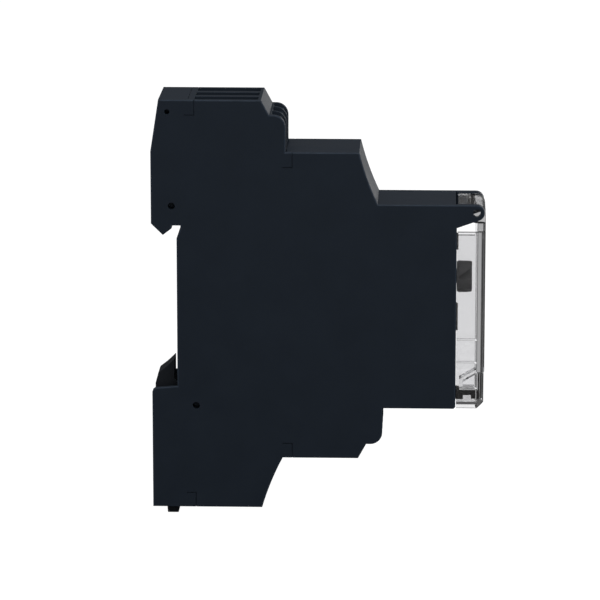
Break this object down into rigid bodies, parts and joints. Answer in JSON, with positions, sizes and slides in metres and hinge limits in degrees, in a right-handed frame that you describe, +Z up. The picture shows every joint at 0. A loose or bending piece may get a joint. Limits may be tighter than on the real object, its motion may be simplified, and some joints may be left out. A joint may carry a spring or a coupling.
{
  "type": "din rail timer",
  "caption": "Slim timer relay for a 35 mm top-hat rail, with stepped screw-terminal tiers, a sprung rail latch, a time knob and a hinged clear cover.",
  "frame": {"origin": "centre of the rail seat: rear face, midway between the lips of the 35 mm rail", "axes": "+X along the rail, -Y out of the front, +Y into the panel, +Z up"},
  "size_m": [0.0176, 0.072, 0.0929],
  "materials": {
    "case_plastic": "fine moulded grain, dark slate grey",
    "panel_plastic": "fine moulded grain",
    "dial_foil": "printed satin film",
    "catch_plastic": "black, slightly glossy",
    "clear_plastic": "clear polycarbonate, polished",
    "latch_plastic": "smooth dark slate grey",
    "spring_steel": "drawn wire",
    "knob_plastic": "satin dark grey",
    "component_plastic": "moulded black resin",
    "potentiometer_blue": "moulded blue resin",
    "lamp_resin": "diffused resin",
    "light_guide_clear": "clear, polished",
    "board_laminate": "green solder mask",
    "relay_case_plastic": "moulded blue plastic",
    "coil_winding": "enamelled copper wire",
    "relay_iron": "nickel-plated iron",
    "contact_alloy": "tinned copper alloy",
    "capacitor_sleeve": "shrink sleeve",
    "film_capacitor": "moulded resin",
    "varistor_coat": "epoxy coat",
    "crystal_can": "drawn can",
    "resistor_body": "lacquered ceramic",
    "terminal_steel": "zinc-plated steel"
  },
  "bodies": {
    "case": {"housing": "case_plastic", "side_cover": "case_plastic", "upper_terminal_cover": "case_plastic", "lower_terminal_cover": "case_plastic", "upper_blank_cover": "case_plastic", "lower_blank_cover": "case_plastic", "front_panel": "panel_plastic", "dial_label": "dial_foil", "cover_catch": "catch_plastic", "latch_spring": "spring_steel", "button_switch": "component_plastic", "potentiometer": "potentiometer_blue", "range_switch": "component_plastic", "status_lamps": "lamp_resin", "light_guides": "light_guide_clear", "main_board": "board_laminate", "front_board": "board_laminate", "board_connector": "component_plastic", "relay_base": "component_plastic", "relay_case": "relay_case_plastic", "relay_coil": "coil_winding", "relay_yoke": "relay_iron", "relay_contacts": "contact_alloy", "smoothing_capacitor": "capacitor_sleeve", "dropper_capacitor": "film_capacitor", "varistor": "varistor_coat", "controller_chip": "component_plastic", "clock_crystal": "crystal_can", "rectifier_diodes": "component_plastic", "resistors": "resistor_body", "upper_busbars": "contact_alloy", "lower_busbars": "contact_alloy"},
    "cover": {"clear_cover": "clear_plastic"},
    "latch": {"rail_latch": "latch_plastic"},
    "knob": {"time_knob": "knob_plastic"},
    "selector": {"range_selector": "knob_plastic"},
    "button": {"test_button": "knob_plastic"},
    "armature": {"relay_armature": "relay_iron"},
    "upper_screw_1": {"upper_screw_1": "terminal_steel"},
    "upper_clamp_1": {"upper_clamp_1": "terminal_steel"},
    "upper_screw_2": {"upper_screw_2": "terminal_steel"},
    "upper_clamp_2": {"upper_clamp_2": "terminal_steel"},
    "upper_screw_3": {"upper_screw_3": "terminal_steel"},
    "upper_clamp_3": {"upper_clamp_3": "terminal_steel"},
    "lower_screw_1": {"lower_screw_1": "terminal_steel"},
    "lower_clamp_1": {"lower_clamp_1": "terminal_steel"},
    "lower_screw_2": {"lower_screw_2": "terminal_steel"},
    "lower_clamp_2": {"lower_clamp_2": "terminal_steel"},
    "lower_screw_3": {"lower_screw_3": "terminal_steel"},
    "lower_clamp_3": {"lower_clamp_3": "terminal_steel"}
  },
  "joints": [
    {"name": "cover_hinge", "type": "hinge", "parent": "case", "child": "cover", "pos_m": [0, -0.06454, 0.02078], "axis": [-1, 0, 0], "range_deg": [0, 160]},
    {"name": "latch_pull", "type": "slide", "parent": "case", "child": "latch", "axis": [0, 0, -1], "range_m": [0, 0.0045], "stiffness_N_per_m": 800, "springref_m": -0.002, "deforming": ["latch_spring"]},
    {"name": "time_setting", "type": "hinge", "parent": "case", "child": "knob", "pos_m": [0, -0.06, 0.0052], "axis": [0, 1, 0], "range_deg": [-219, 81]},
    {"name": "range_setting", "type": "hinge", "parent": "case", "child": "selector", "pos_m": [0, -0.06, -0.0038], "axis": [0, 1, 0], "range_deg": [-150, 150]},
    {"name": "button_press", "type": "slide", "parent": "case", "child": "button", "axis": [0, 1, 0], "range_m": [0, 0.0005], "stiffness_N_per_m": 600},
    {"name": "armature_pull", "type": "hinge", "parent": "case", "child": "armature", "pos_m": [-0.0015, -0.0234, -0.0182], "axis": [-1, 0, 0], "range_deg": [0, 3.5], "stiffness_Nm_per_rad": 0.01},
    {"name": "upper_screw_1_turn", "type": "hinge", "parent": "case", "child": "upper_screw_1", "pos_m": [-0.0058, -0.0205, 0.0378], "axis": [0, 1, 0], "range_deg": [0, 2400]},
    {"name": "upper_clamp_1_travel", "type": "slide", "parent": "case", "child": "upper_clamp_1", "axis": [0, -1, 0], "range_m": [0, 0.003]},
    {"name": "upper_screw_2_turn", "type": "hinge", "parent": "case", "child": "upper_screw_2", "pos_m": [-0.0002, -0.0205, 0.0378], "axis": [0, 1, 0], "range_deg": [0, 2400]},
    {"name": "upper_clamp_2_travel", "type": "slide", "parent": "case", "child": "upper_clamp_2", "axis": [0, -1, 0], "range_m": [0, 0.003]},
    {"name": "upper_screw_3_turn", "type": "hinge", "parent": "case", "child": "upper_screw_3", "pos_m": [0.0054, -0.0205, 0.0378], "axis": [0, 1, 0], "range_deg": [0, 2400]},
    {"name": "upper_clamp_3_travel", "type": "slide", "parent": "case", "child": "upper_clamp_3", "axis": [0, -1, 0], "range_m": [0, 0.003]},
    {"name": "lower_screw_1_turn", "type": "hinge", "parent": "case", "child": "lower_screw_1", "pos_m": [-0.0058, -0.0415, -0.02655], "axis": [0, 1, 0], "range_deg": [0, 2400]},
    {"name": "lower_clamp_1_travel", "type": "slide", "parent": "case", "child": "lower_clamp_1", "axis": [0, -1, 0], "range_m": [0, 0.003]},
    {"name": "lower_screw_2_turn", "type": "hinge", "parent": "case", "child": "lower_screw_2", "pos_m": [-0.0002, -0.0415, -0.02655], "axis": [0, 1, 0], "range_deg": [0, 2400]},
    {"name": "lower_clamp_2_travel", "type": "slide", "parent": "case", "child": "lower_clamp_2", "axis": [0, -1, 0], "range_m": [0, 0.003]},
    {"name": "lower_screw_3_turn", "type": "hinge", "parent": "case", "child": "lower_screw_3", "pos_m": [0.0054, -0.0415, -0.02655], "axis": [0, 1, 0], "range_deg": [0, 2400]},
    {"name": "lower_clamp_3_travel", "type": "slide", "parent": "case", "child": "lower_clamp_3", "axis": [0, -1, 0], "range_m": [0, 0.003]}
  ],
  "couplings": [
    {"joint": "upper_screw_1_turn", "follows": "upper_clamp_1_travel", "rad_per_m": 13963},
    {"joint": "upper_screw_2_turn", "follows": "upper_clamp_2_travel", "rad_per_m": 13963},
    {"joint": "upper_screw_3_turn", "follows": "upper_clamp_3_travel", "rad_per_m": 13963},
    {"joint": "lower_screw_1_turn", "follows": "lower_clamp_1_travel", "rad_per_m": 13963},
    {"joint": "lower_screw_2_turn", "follows": "lower_clamp_2_travel", "rad_per_m": 13963},
    {"joint": "lower_screw_3_turn", "follows": "lower_clamp_3_travel", "rad_per_m": 13963}
  ]
}
